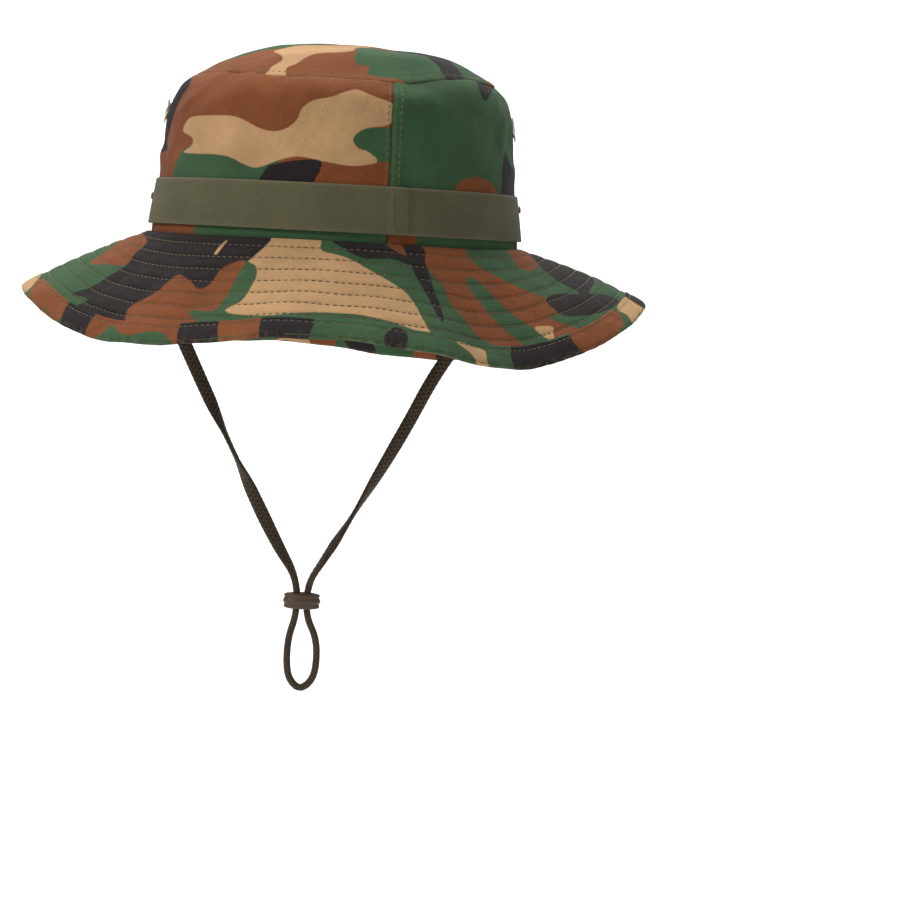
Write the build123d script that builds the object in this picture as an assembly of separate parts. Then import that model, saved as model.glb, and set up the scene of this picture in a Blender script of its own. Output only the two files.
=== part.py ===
from build123d import *
import os
from math import atan2, cos, degrees, pi, radians, sin, sqrt, tan

# Camouflage boonie hat with a snap-up brim and a chin cord.
# Millimetres. Origin: centre of the head opening, level with the seam between crown and brim.
# +Z up, the hat faces -Y, +X is the wearer's left.

# Crown. Its sections are ellipses, made round first and then stretched along Y.
HEAD_HALF_WIDTH = 84.0
HEAD_HALF_LENGTH = 100.0
STRETCH = HEAD_HALF_LENGTH / HEAD_HALF_WIDTH
CLOTH = 0.9
CROWN_WALL = [(84.0, -1.5), (83.9, 4.0), (81.4, 28.0), (79.0, 56.0), (75.6, 68.0), (69.5, 75.0)]
CROWN_TIP = [(69.5, 75.1), (60.0, 80.0), (47.0, 84.6), (25.0, 87.9), (0.0, 88.9)]
PANEL_SEAM_X = 22.5
PROFILE_STEPS = 9

# Webbing band round the crown and sweatband inside it
BAND_BOTTOM = 4.0
BAND_TOP = 24.8
BAND_THICK = 1.0
BAND_FLARE = 1.1
BAND_EASE = 0.25
BAND_LAP = 8.0
SWEATBAND_BOTTOM = -1.5
SWEATBAND_TOP = 29.0
SWEATBAND_THICK = 1.0
SWEATBAND_GAP = 1.0

# Brim: cloth, interlining, cloth. It droops by a different amount all the way round.
BRIM_WIDTH = 64.0
BRIM_START = 1.6
PLY = 0.6
INTERLINING = 0.8
BINDING_LEG = 10.5
BINDING_THICK = 0.5
BRIM_STATIONS = 40
# Peaks and dips of the brim's edge: degrees round the hat from the wearer's left, and how far the
# edge hangs below the crown seam
DROOP = [(-180, 28), (-135, 48.5), (-90, 40), (-50, 50), (0, 22.5), (65, 56), (103, 51), (138, 53),
         (180, 28)]
SLACK = 0.08
FOLD_X = 102.0
FOLD_GAP = 0.4
FOLD_RISE = 0.3
FAR = 400.0

# Snap fasteners, a little behind the middle of each side: stud on the band, socket and prong ring
# through the brim
SNAP_FROM_EDGE = 17.0
SNAP_TURN = radians(7)
SNAP_HOLE = 3.0
SOCKET_THICK = 2.0
SOCKET_LIFT = 0.2
RING_LIFT = 0.5
RING_THICK = 1.1
STUD_BASE = 5.0
STUD_RISE = 2.4
STUD_GAP = 1.15
POST_HOLE = 1.8
POST_SHANK = 1.4
SNAPPED_UP = {1: 137.0, -1: 142.5}

# Screened vent eyelets, two on each side, one before and one behind the snap
VENT_HEIGHT = 56.0
VENT_SPACING = 62.0
VENT_CENTRE = 25.0
VENT_RADIUS = 6.75
VENT_BARREL = 4.9

# Chin cord: one braid from the left seam, through the bead, round a loop and back up
CORD = 4.0
BEAD_X = -7.0
BEAD_Z = -167.0
BEAD = (17.0, 9.4, 7.5)
STRAND = 2.3
CORD_RIGHT = [(-82.6, 0, -1.5), (-82.6, 0, -18), (-71, 1, -42), (-55, 2, -74), (-38, 1, -107),
              (-20, 0, -141), (BEAD_X - STRAND, 0, -157), (BEAD_X - STRAND, 0, BEAD_Z)]
CORD_LEFT = [(82.6, 0, -1.5), (82.6, 0, -15), (67, -1, -33), (50, -2, -57), (36.5, -1, -86),
             (15.5, 0, -125), (2, 0, -148), (BEAD_X + STRAND, 0, -159), (BEAD_X + STRAND, 0, BEAD_Z)]
CORD_LOOP = [(BEAD_X - STRAND, 0, BEAD_Z), (BEAD_X - STRAND, 0, -174), (-12.4, 0, -184),
             (-12.8, 0, -196), (-11.2, 0, -204), (-5.9, 0, -208.6), (-0.4, 0, -204), (1.3, 0, -196),
             (0.6, 0, -184), (BEAD_X + STRAND, 0, -174), (BEAD_X + STRAND, 0, BEAD_Z)]


def save(shape, name):
    """Write one node's solids."""
    solids = shape.solids() if hasattr(shape, "solids") else ShapeList([shape])
    export_step(solids[0] if len(solids) == 1 else Compound(children=list(solids)), f"parts/{name}.step")


def half(sign_x=0, sign_y=0, x=0.0):
    """A big block on one side of the plane x = x, or of y = 0, to cut with."""
    if sign_x:
        return Pos(x + sign_x * (FAR / 2 + SLACK), 0, 0) * Box(FAR, 2 * FAR, 2 * FAR)
    return Pos(0, sign_y * (FAR / 2 + SLACK), 0) * Box(2 * FAR, FAR, 2 * FAR)


# ---- crown ----

def shifted(points, amount):
    """A profile moved inwards by amount, square to itself."""
    moved = []
    for i, (r, z) in enumerate(points):
        before, after = points[max(i - 1, 0)], points[min(i + 1, len(points) - 1)]
        run, rise = after[0] - before[0], after[1] - before[1]
        length = sqrt(run * run + rise * rise)
        moved.append((r - amount * rise / length, z + amount * run / length))
    return moved


def wall_radius(z):
    """Outside radius of the round crown at a height."""
    for (r0, z0), (r1, z1) in zip(CROWN_WALL, CROWN_WALL[1:]):
        if z <= z1:
            return r0 + (r1 - r0) * (z - z0) / (z1 - z0)
    return CROWN_WALL[-1][0]


def smoothed(points):
    """More points along the smooth curve through a profile."""
    curve = Spline(*[(r, 0, z) for r, z in points])
    places = [curve @ (i / PROFILE_STEPS) for i in range(PROFILE_STEPS + 1)]
    return [(p.X, p.Z) for p in places]


def ruled_ring(loops):
    """A solid ring from closed loops, each joined to the next and the last to the first."""
    faces = [Face.make_surface_from_curves(a, b) for a, b in zip(loops, loops[1:] + loops[:1])]
    solid = Solid(Shell(faces))
    return solid if solid.volume > 0 else Solid(Shell([-face for face in faces]))


def ellipse(radius, height):
    """A round section at a height, stretched to the head's length."""
    level = Plane(origin=(0, 0, height), x_dir=(0, 1, 0), z_dir=(0, 0, 1))
    return Edge.make_ellipse(radius * STRETCH, radius, plane=level)


def hoop(outer, inner):
    """A ring of cloth between an outer and an inner profile."""
    return ruled_ring([ellipse(r, z) for r, z in outer + list(reversed(inner))])


def crown_wall():
    outer = smoothed(CROWN_WALL)
    inner = shifted(outer, CLOTH)
    inner[0] = (outer[0][0] - CLOTH, outer[0][1])
    inner[-1] = tip_join(outer[-1])
    return hoop(outer, inner)


def tip_join(point):
    """The inside end of the seam between the wall and the tip."""
    return (point[0] - CLOTH * 0.7, point[1] - CLOTH)


def crown_tip():
    """Domed top, turned round Z and stretched."""
    inner = [(r, z - CLOTH) for r, z in CROWN_TIP]
    inner[0] = tip_join(CROWN_TIP[0])
    out_line = [(r, 0, z) for r, z in CROWN_TIP]
    in_line = [(r, 0, z) for r, z in reversed(inner)]
    edges = [Spline(*out_line), Line(out_line[-1], in_line[0]),
             Spline(*in_line), Line(in_line[-1], out_line[0])]
    return scale(revolve(Face(Wire(edges)), axis=Axis.Z), by=(1, STRETCH, 1))


def band_profile(extra):
    bottom, top = wall_radius(BAND_BOTTOM), wall_radius(BAND_TOP)
    middle = (BAND_BOTTOM + BAND_TOP) / 2
    stands_off = (BAND_FLARE + BAND_EASE) / 2 + BAND_EASE / 3
    return [
        (bottom + BAND_FLARE + extra, BAND_BOTTOM),
        (wall_radius(middle) + stands_off + extra, middle),
        (top + BAND_EASE + extra, BAND_TOP),
    ]


def hat_band():
    """Webbing, with its ends lapped beside the crown's front seam."""
    band = hoop(band_profile(BAND_THICK), band_profile(0.0))
    lap = hoop(band_profile(2 * BAND_THICK), band_profile(BAND_THICK / 2))
    window = Pos(PANEL_SEAM_X + BAND_LAP / 2, -HEAD_HALF_LENGTH, 0) * Box(BAND_LAP, 60, 90)
    return band + (lap & window)


def sweatband():
    middle = (SWEATBAND_BOTTOM + SWEATBAND_TOP) / 2
    inset = CLOTH + SWEATBAND_GAP
    outer = [(wall_radius(z) - inset, z) for z in (SWEATBAND_BOTTOM, middle, SWEATBAND_TOP)]
    inner = [(r - SWEATBAND_THICK, z) for r, z in outer]
    return hoop(outer, inner)


# ---- brim ----

def drop(angle):
    """How far the brim's edge hangs below the crown seam: it eases from each peak or dip to the next."""
    turn = (degrees(angle) + 180) % 360 - 180
    for (start, here), (end, there) in zip(DROOP, DROOP[1:]):
        if turn <= end:
            return here + (there - here) * (1 - cos(pi * (turn - start) / (end - start))) / 2


def brim_point(angle, along, above):
    """A point of the brim: along it from the seam, and above its middle surface."""
    fall = drop(angle) / BRIM_WIDTH
    reach = sqrt(1 - fall * fall)
    nx, ny = cos(angle) / HEAD_HALF_WIDTH, sin(angle) / HEAD_HALF_LENGTH
    size = sqrt(nx * nx + ny * ny)
    out = along * reach + above * fall
    return Vector(HEAD_HALF_WIDTH * cos(angle) + out * nx / size,
                  HEAD_HALF_LENGTH * sin(angle) + out * ny / size,
                  above * reach - along * fall)


def brim_ring(section):
    """A closed ring whose section is a polygon of (along, above) corners."""
    loops = []
    even = [i / BRIM_STATIONS for i in range(BRIM_STATIONS + 1)]
    for along, above in section:
        points = [brim_point(2 * pi * t, along, above) for t in even[:-1]]
        loops.append(Edge.make_spline(points, parameters=even, periodic=True))
    return ruled_ring(loops)


def layer(low, high):
    return brim_ring([(BRIM_START, low), (BRIM_START, high), (BRIM_WIDTH, high), (BRIM_WIDTH, low)])


def binding():
    """A strip folded over the brim's edge and sewn through both faces."""
    face = INTERLINING / 2 + PLY + SLACK
    skin = face + BINDING_THICK
    inner, outer = BRIM_WIDTH + SLACK, BRIM_WIDTH + SLACK + BINDING_THICK
    leg = BRIM_WIDTH - BINDING_LEG
    return brim_ring([(leg, face), (leg, skin), (outer, skin), (outer, -skin),
                      (leg, -skin), (leg, -face), (inner, -face), (inner, face)])


def side_angle(side):
    return 0 if side > 0 else pi


def fold_height(side):
    """Height of a fold's axis: just above the brim's top face."""
    fall = drop(side_angle(side)) / BRIM_WIDTH
    reach = sqrt(1 - fall * fall)
    return (INTERLINING / 2 + PLY - (FOLD_X - HEAD_HALF_WIDTH) * fall) / reach + FOLD_RISE


def snap_angle(side):
    return SNAP_TURN if side > 0 else pi - SNAP_TURN


def snap_place(side):
    """Plane of the snap on one side of the brim, its Z square out of the brim's top face."""
    angle, along = snap_angle(side), BRIM_WIDTH - SNAP_FROM_EDGE
    at = brim_point(angle, along, 0)
    outwards = brim_point(angle, along + 1, 0) - at
    round_it = brim_point(angle + radians(1), along, 0) - at
    return Plane(origin=at, x_dir=outwards, z_dir=outwards.cross(round_it))


def snap_holes():
    return snap_place(1) * Cylinder(SNAP_HOLE, 12) + snap_place(-1) * Cylinder(SNAP_HOLE, 12)


def brim_nodes():
    """Every brim layer, parted at the two folds, and its cloth also at the side seams."""
    core = INTERLINING / 2
    cloth_face = core + SLACK
    left = half(sign_x=1, x=FOLD_X + FOLD_GAP)
    right = half(sign_x=-1, x=-FOLD_X - FOLD_GAP)
    middle = Box(2 * (FOLD_X - FOLD_GAP), 2 * FAR, 2 * FAR)
    front, back = half(sign_y=-1), half(sign_y=1)
    holes = snap_holes()
    for cloth, low, high in (("upper", cloth_face, core + PLY), ("lower", -core - PLY, -cloth_face)):
        ring = layer(low, high) - holes
        for end, block in (("front", front), ("back", back)):
            save(ring & middle & block, f"brim_{cloth}_{end}")
            save(ring & left & block, f"left_flap_{cloth}_{end}")
            save(ring & right & block, f"right_flap_{cloth}_{end}")
    stiffener = layer(-core, core) - holes
    save(stiffener & middle, "brim_interlining")
    save(stiffener & left, "left_flap_interlining")
    save(stiffener & right, "right_flap_interlining")
    edge = binding()
    save(edge & middle & front, "brim_binding_front")
    save(edge & middle & back, "brim_binding_back")
    save(edge & left, "left_flap_binding")
    save(edge & right, "right_flap_binding")


# ---- snaps and vents ----

def wall_place(side, y, z, outside):
    """Plane on the crown at a height, its Z straight out of the wall."""
    radius = wall_radius(z) + outside
    x = radius * sqrt(1 - (y / (radius * STRETCH)) ** 2)
    lean = (wall_radius(z - 2) - wall_radius(z + 2)) / 4
    normal = Vector(side * x / radius, y / (radius * STRETCH * STRETCH), lean)
    return Plane(origin=(side * x, y, z), x_dir=Vector(-normal.Y, normal.X, 0), z_dir=normal)


def ring(outer, inner, low, high, soften=0.0):
    """A flat washer between two heights, its upper outside edge rounded."""
    body = Pos(0, 0, (low + high) / 2) * (Cylinder(outer, high - low) - Cylinder(inner, high - low))
    if soften:
        top_edges = body.edges().filter_by(GeomType.CIRCLE).group_by(Axis.Z)[-1]
        body = fillet(top_edges.sort_by(SortBy.RADIUS)[-1], soften)
    return body


def stud_place(side):
    """Plane on the band where the folded brim brings its socket."""
    snap = snap_place(side)
    mouth = snap.origin + snap.z_dir * (INTERLINING / 2 + PLY + SOCKET_THICK)
    run, rise = abs(mouth.X) - FOLD_X, mouth.Z - fold_height(side)
    turn = atan2(rise, run) + radians(SNAPPED_UP[side])
    height = fold_height(side) + sqrt(run * run + rise * rise) * sin(turn)
    return wall_place(side, mouth.Y, height, BAND_THICK + STUD_GAP)


def stud():
    """Disc and waisted nub, standing on the band."""
    disc = ring(STUD_BASE, POST_SHANK, 0.0, 0.8, 0.4)
    nub = Pos(0, 0, STUD_RISE / 2) * Cylinder(POST_SHANK, STUD_RISE)
    head = Pos(0, 0, STUD_RISE - 0.4) * Cylinder(POST_SHANK + 0.3, 0.8)
    return disc + nub + head


def post():
    """Rivet from the crown's inside into the stud."""
    reach = BAND_THICK + STUD_GAP + CLOTH + 0.45
    cap = Pos(0, 0, -reach - 0.2) * Cylinder(4.6, 0.4)
    shank = Pos(0, 0, -reach / 2) * Cylinder(POST_SHANK, reach)
    return cap + shank


def socket():
    """Snap socket on the brim's top face, its barrel through the brim."""
    top = INTERLINING / 2 + PLY
    barrel_inside = SNAP_HOLE - 0.5
    flange = ring(5.4, barrel_inside, top + SOCKET_LIFT, top + SOCKET_THICK, 0.6)
    barrel = ring(SNAP_HOLE - 0.1, barrel_inside, -top - RING_LIFT - 0.6, top + SOCKET_LIFT)
    return flange + barrel


def prong_ring():
    """Open ring clinched on the brim's underside, round the socket's barrel."""
    face = INTERLINING / 2 + PLY + RING_LIFT
    return Rotation(180, 0, 0) * ring(6.3, SNAP_HOLE, face, face + RING_THICK, 0.7)


def snap_nodes():
    for side, name in ((1, "left"), (-1, "right")):
        save(stud_place(side) * stud(), f"crown_snap_stud_{name}")
        save(stud_place(side) * post(), f"crown_snap_post_{name}")
        save(snap_place(side) * socket(), f"brim_snap_socket_{name}")
        save(snap_place(side) * prong_ring(), f"brim_snap_ring_{name}")


def vent_places():
    for side, side_name in ((1, "left"), (-1, "right")):
        for step, end in ((-VENT_SPACING / 2, "front"), (VENT_SPACING / 2, "back")):
            yield f"{side_name}_{end}", wall_place(side, VENT_CENTRE + step, VENT_HEIGHT, 0.0)


def eyelet():
    """Rolled flange outside and barrel through the cloth."""
    flange = ring(VENT_RADIUS, VENT_BARREL - 0.6, 0.05, 0.95, 0.6)
    barrel = ring(VENT_BARREL - 0.1, VENT_BARREL - 0.6, -2.6, 0.05)
    return flange + barrel


def screen():
    """Domed gauze held in the eyelet's barrel."""
    edge = VENT_BARREL - 0.65
    rise, thick = 0.7, 0.25
    radius = (edge * edge + rise * rise) / (2 * rise)
    dome = Sphere(radius) - Sphere(radius - thick)
    cap = dome & (Pos(0, 0, radius) * Box(2 * edge + 4, 2 * edge + 4, 2 * rise + 0.01))
    cap = cap & Cylinder(edge, 2 * radius + 5)
    return Pos(0, 0, 0.4 - radius) * cap


def washer():
    return ring(VENT_RADIUS + 0.2, VENT_BARREL, -2.4, -1.8)


def vent_nodes():
    for name, place in vent_places():
        save(place * eyelet(), f"vent_eyelet_{name}")
        save(place * screen(), f"vent_screen_{name}")
        save(place * washer(), f"vent_washer_{name}")


def crown_nodes():
    wall = crown_wall()
    band = hat_band()
    for _, place in vent_places():
        wall -= place * Cylinder(VENT_BARREL, 12)
    for side in (1, -1):
        bore = stud_place(side) * Cylinder(POST_HOLE, 10)
        wall -= bore
        band -= bore
    save(wall & half(sign_x=1, x=PANEL_SEAM_X), "crown_side_panel_left")
    save(wall & half(sign_x=-1, x=PANEL_SEAM_X), "crown_side_panel_right")
    save(crown_tip(), "crown_tip")
    save(band, "hat_band")
    save(sweatband(), "sweatband")


# ---- chin cord ----

def tube(points, name):
    """Round tube on straight runs joined by the largest tangent arcs the runs allow."""
    corners = [Vector(p) for p in points]
    radii = []
    for before, here, after in zip(corners, corners[1:], corners[2:]):
        run = min((here - before).length, (after - here).length)
        radii.append(0.45 * run / tan(radians((here - before).get_angle(after - here)) / 2))
    path = FilletPolyline(*corners, radius=radii)
    start = Plane(origin=corners[0], z_dir=corners[1] - corners[0])
    solid = sweep(start * Circle(CORD / 2), path=path)
    length = sum(edge.length for edge in path.edges())
    share = solid.volume / (length * pi * CORD ** 2 / 4)
    print(name, "length", round(length, 1), "volume share", round(share, 4))
    print("  radii", [round(r, 1) for r in radii])
    return solid


def bead():
    """Oval slider with one slot for both strands."""
    width, depth, height = BEAD
    body = extrude(Ellipse(width / 2, depth / 2), height / 2, both=True)
    body = fillet(body.edges().group_by(Axis.Z)[0] + body.edges().group_by(Axis.Z)[-1], 2.0)
    slot = extrude(SlotOverall(2 * STRAND + CORD + 1.0, CORD + 0.8), height, both=True)
    return Pos(BEAD_X, 0, BEAD_Z) * (body - slot)


def cord_nodes():
    save(tube(CORD_LEFT, "left run"), "chin_cord_left")
    save(tube(CORD_RIGHT, "right run"), "chin_cord_right")
    save(tube(CORD_LOOP, "loop"), "chin_cord_loop")
    save(bead(), "cord_slider")


def fold_axes():
    for side, name in ((1, "left"), (-1, "right")):
        print("fold axis", name, "x", side * FOLD_X, "z", round(fold_height(side), 2),
              "stud at z", round(stud_place(side).origin.Z, 2))


os.makedirs("parts", exist_ok=True)
crown_nodes()
brim_nodes()
snap_nodes()
vent_nodes()
cord_nodes()
fold_axes()
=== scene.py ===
import math
import bpy
import numpy as np
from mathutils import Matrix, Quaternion, Vector, noise


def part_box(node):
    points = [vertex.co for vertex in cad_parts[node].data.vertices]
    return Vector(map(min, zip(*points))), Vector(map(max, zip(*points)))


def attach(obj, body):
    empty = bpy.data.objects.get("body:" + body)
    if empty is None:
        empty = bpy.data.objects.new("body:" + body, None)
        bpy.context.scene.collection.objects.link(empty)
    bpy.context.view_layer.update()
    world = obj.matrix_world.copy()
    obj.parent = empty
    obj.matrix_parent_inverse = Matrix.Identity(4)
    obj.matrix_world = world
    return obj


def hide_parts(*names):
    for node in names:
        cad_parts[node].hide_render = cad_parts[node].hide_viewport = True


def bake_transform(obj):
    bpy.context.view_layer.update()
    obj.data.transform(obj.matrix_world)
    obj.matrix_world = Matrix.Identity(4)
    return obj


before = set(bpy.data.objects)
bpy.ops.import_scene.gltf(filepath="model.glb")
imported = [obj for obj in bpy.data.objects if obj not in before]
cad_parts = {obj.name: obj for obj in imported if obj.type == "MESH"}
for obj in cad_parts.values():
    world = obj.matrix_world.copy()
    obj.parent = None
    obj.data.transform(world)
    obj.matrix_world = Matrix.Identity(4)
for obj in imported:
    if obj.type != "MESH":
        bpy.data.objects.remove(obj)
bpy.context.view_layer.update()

# Lengths below are in millimetres, in the CAD's frame, and meshes are written in metres.
MM = 0.001
HALF_WIDTH = 84.0
HALF_LENGTH = 100.0
STRETCH = HALF_LENGTH / HALF_WIDTH
CLOTH = 0.9
WALL = [(84.0, -1.5), (83.9, 4.0), (81.4, 28.0), (79.0, 56.0), (75.6, 68.0), (69.8, 74.6)]
TIP = [(69.9, 75.0), (60.0, 80.0), (47.0, 84.6), (25.0, 87.9), (0.0, 88.9)]
RIM_HEIGHT = WALL[-1][1]
TIP_REACH = TIP[0][0]
SEAM_X = 22.5
BAND = (4.0, 24.8)
BAND_LAP = (22.5, 30.5)
BRIM_WIDTH = 64.0
# Peaks and dips of the brim's edge: degrees from the wearer's left, and how far the edge hangs.
DROOP = [(-180, 28), (-135, 48.5), (-90, 40), (-50, 50), (0, 22.5), (65, 56), (103, 51), (138, 53),
         (180, 28)]
BINDING_LEG = 10.5
ROWS = [6.0 + 7.4 * k for k in range(7)]
BINDING_ROW = 55.8
VENT_HOLE = 5.0
SNAP_HOLE = 2.9
SNAP_TURN = math.radians(7)
SNAP_FROM_EDGE = 17.0
EYE = 1500.0
STATIONS = 640
BAND_STATIONS = 660
SWEATBAND_STATIONS = 420

# The chin cord's route, with the points that the CAD uses.
CORD_RIGHT = [(-82.6, 0, -1.5), (-82.6, 0, -18), (-71, 1, -42), (-55, 2, -74), (-38, 1, -107),
              (-20, 0, -141), (-9.3, 0, -157), (-9.3, 0, -167)]
CORD_LEFT = [(82.6, 0, -1.5), (82.6, 0, -15), (67, -1, -33), (50, -2, -57), (36.5, -1, -86),
             (15.5, 0, -125), (2, 0, -148), (-4.7, 0, -159), (-4.7, 0, -167)]
CORD_LOOP = [(-9.3, 0, -167), (-9.3, 0, -174), (-12.4, 0, -184), (-12.8, 0, -196), (-11.2, 0, -204),
             (-5.9, 0, -208.6), (-0.4, 0, -204), (1.3, 0, -196), (0.6, 0, -184), (-4.7, 0, -174),
             (-4.7, 0, -167)]

# The camouflage print's outlines on the front, in the front elevation: millimetres at the
# depth of the origin, as an eye at seam level sees them from 1.5 m in front.
CROWN_RIGHT_SHAPES = [
    ("green", [(-55, 8), (30, 9), (31, -6), (-54, -6)]),
    ("green", [(5, 46), (8, 51), (12, 53), (19, 53), (32, 53), (32, 39), (16, 38), (10, 43)]),
    ("green", [(-71, 39), (-54, 39), (-43, 36), (-28, 37), (-35, 18), (-73, 18)]),
    ("tan", [(-72, 47), (-70, 52), (-66, 54), (-53, 55), (-46, 54), (-37, 50), (-30, 49), (-24, 51),
             (-20, 55), (-18, 60), (-13, 64), (-5, 66), (2, 69), (7, 70), (13, 68), (25, 64), (29, 60),
             (26, 57), (20, 54), (14, 53), (9, 51), (6, 47), (9, 43), (13, 42), (18, 38), (14, 36),
             (6, 35), (-4, 36), (-18, 38), (-27, 36), (-37, 32), (-43, 33), (-50, 36), (-57, 37),
             (-71, 37), (-68, 40), (-67, 43), (-69, 45)]),
    ("black", [(-36, 22), (-33, 32), (-29, 34), (-21, 36), (-12, 37), (-8, 36), (-8, 33), (-10, 29),
               (-15, 22)]),
    ("black", [(-70, 72), (-74, 61), (-77, 52), (-79, 43), (-80, 37), (-96, 37), (-92, 72)]),
]
CROWN_LEFT_SHAPES = [
    ("brown", [(53, 22), (54, 27), (56, 30), (60, 32), (64, 33), (68, 32), (72, 29), (74, 22)]),
    ("brown", [(20, 12), (35, 12), (36, -4), (20, -4)]),
    ("black", [(76, 45), (80, 38), (92, 30), (92, 20), (77, 20)]),
    ("black", [(60, 82), (63, 73), (66, 68), (69, 73), (71, 79)]),
]
TIP_SHAPES = [
    ("brown", [(-90, 60), (-90, 110), (3, 110), (5, 84), (12, 81), (12, 77), (30, 74), (30, 60)]),
    ("tan", [(-42, 92), (-34, 86), (-29, 84), (-28, 82), (-30, 80), (-33, 78), (-37, 71), (-27, 71),
             (-26, 78), (-22, 80), (-18, 83), (-14, 85), (-9, 86), (1, 87), (5, 89), (2, 97)]),
    ("black", [(-65, 77), (-59, 75), (-62, 72), (-65, 68), (-72, 68), (-70, 74)]),
    ("black", [(28, 96), (38, 87), (42, 84), (44, 82), (46, 79), (51, 75), (63, 70), (66, 72), (58, 77),
               (54, 80), (51, 86), (44, 94)]),
]
BRIM_SHAPES = [
    ("brown", [(-112, -16), (-107, -12), (-102, -8), (-86, 5), (-70, 4), (-81, -4), (-87, -6),
               (-90, -10), (-96, -16), (-102, -16)]),
    ("brown", [(-98, -46), (-94, -35), (-84, -27), (-73, -16), (-61, -20), (-51, -12), (-41, -11),
               (-42, -15), (-45, -20), (-47, -25), (-50, -30), (-55, -35), (-65, -35), (-63, -39),
               (-58, -42), (-50, -44), (-69, -50)]),
    ("brown", [(22, 4), (32, 4), (38, -6), (29, -4)]),
    ("brown", [(39, 6), (58, 6), (61, -2), (65, -7), (73, -11), (84, -16), (98, -21), (105, -27),
               (101, -29), (103, -31), (115, -35), (113, -38), (104, -41), (98, -38), (88, -32),
               (82, -28), (76, -23), (72, -19), (67, -15), (62, -13), (62, -16), (64, -20), (68, -24),
               (74, -31), (81, -37), (90, -44), (85, -47), (78, -45), (68, -40), (62, -33), (55, -26),
               (51, -18), (45, -12), (41, -7)]),
    ("brown", [(78, 5), (89, 5), (94, -6), (90, -9), (84, -6)]),
    ("tan", [(-33, 6), (-8, 6), (-6, -4), (1, -6), (8, -8), (18, -13), (26, -17), (34, -22), (39, -28),
             (42, -33), (47, -42), (39, -39), (29, -36), (19, -34), (10, -33), (-5, -33), (-18, -34),
             (-34, -36), (-49, -35), (-42, -30), (-39, -26), (-36, -20), (-35, -16), (-36, -13),
             (-40, -9)]),
    ("tan", [(94, -35), (99, -34), (103, -34), (103, -37), (104, -41), (99, -39)]),
    ("black", [(-85, 4), (-31, 4), (-38, -10), (-43, -11), (-51, -15), (-55, -21), (-58, -24),
               (-62, -25), (-65, -22), (-68, -20), (-71, -19), (-74, -21), (-77, -24), (-80, -27),
               (-86, -31), (-90, -33), (-94, -37), (-97, -46), (-121, -39), (-112, -33), (-119, -30),
               (-111, -27), (-101, -20), (-95, -16), (-91, -10), (-86, -5)]),
    ("black", [(-1, 1), (18, 2), (28, -3), (35, -6), (35, -9), (28, -7), (21, -7), (13, -7), (4, -3)]),
    ("black", [(30, 5), (41, -1), (42, -7), (44, -12), (47, -20), (51, -29), (52, -35), (48, -30),
               (44, -23), (40, -17), (35, -8)]),
    ("black", [(86, 4), (102, -4), (120, -11), (119, -16), (117, -18), (125, -18), (132, -20),
               (131, -23), (123, -27), (109, -29), (103, -26), (99, -22), (103, -19), (114, -18),
               (104, -13), (97, -8)]),
    ("tan", [(-49, -2), (-51, -3), (-55, -8), (-54, -9), (-51, -5)]),
]
EDGE_SHAPES = [
    ("tan", [(-144, -25), (-136, -15), (-132, -19), (-141, -31)]),
    ("brown", [(-139, -35), (-133, -24), (-121, -32), (-126, -43)]),
    ("black", [(-120, -34), (-107, -38), (-109, -54), (-124, -50)]),
    ("brown", [(-107, -38), (-95, -41), (-67, -42), (-67, -56), (-110, -54)]),
    ("green", [(-106, -53), (-103, -46), (-100, -44), (-97, -47), (-92, -48), (-85, -46), (-78, -46),
               (-75, -48), (-71, -56)]),
    ("black", [(-68, -40), (-49, -40), (-49, -56), (-68, -56)]),
    ("brown", [(-50, -36), (-30, -35), (-31, -55), (-49, -55)]),
    ("black", [(-30, -34), (-8, -34), (-15, -52), (-31, -52)]),
    ("black", [(25, -43), (28, -39), (31, -38), (35, -40), (36, -44), (33, -50), (27, -50)]),
    ("tan", [(58, -43), (66, -45), (72, -47), (73, -51), (75, -58), (69, -57), (68, -52), (65, -48)]),
    ("black", [(84, -44), (102, -41), (110, -38), (119, -41), (122, -44), (108, -54), (91, -60)]),
    ("brown", [(111, -38), (115, -32), (130, -25), (135, -33), (121, -46)]),
    ("tan", [(132, -24), (137, -18), (148, -23), (141, -31), (137, -27)]),
    ("black", [(130, -14), (150, -19), (149, -25), (138, -20)]),
]


# ---- camera, light and floor ----

def make_camera():
    eye = Vector((0, -EYE, 0)) * MM
    aim = Vector((63, 0, -98)) * MM
    data = bpy.data.cameras.new("camera")
    data.lens = 127
    data.sensor_width = 36
    camera = bpy.data.objects.new("camera", data)
    bpy.context.scene.collection.objects.link(camera)
    camera.location = eye
    camera.rotation_mode = "QUATERNION"
    roll = Quaternion((0, 0, 1), math.radians(3.0))
    camera.rotation_quaternion = (aim - eye).to_track_quat("-Z", "Y") @ roll
    bpy.context.scene.camera = camera


def area_light(name, place, aim, size, power):
    data = bpy.data.lights.new(name, "AREA")
    data.shape = "DISK"
    data.size = size
    data.energy = power
    light = bpy.data.objects.new(name, data)
    bpy.context.scene.collection.objects.link(light)
    light.location = place
    light.rotation_mode = "QUATERNION"
    light.rotation_quaternion = (Vector(aim) - Vector(place)).to_track_quat("-Z", "Y")


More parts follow.
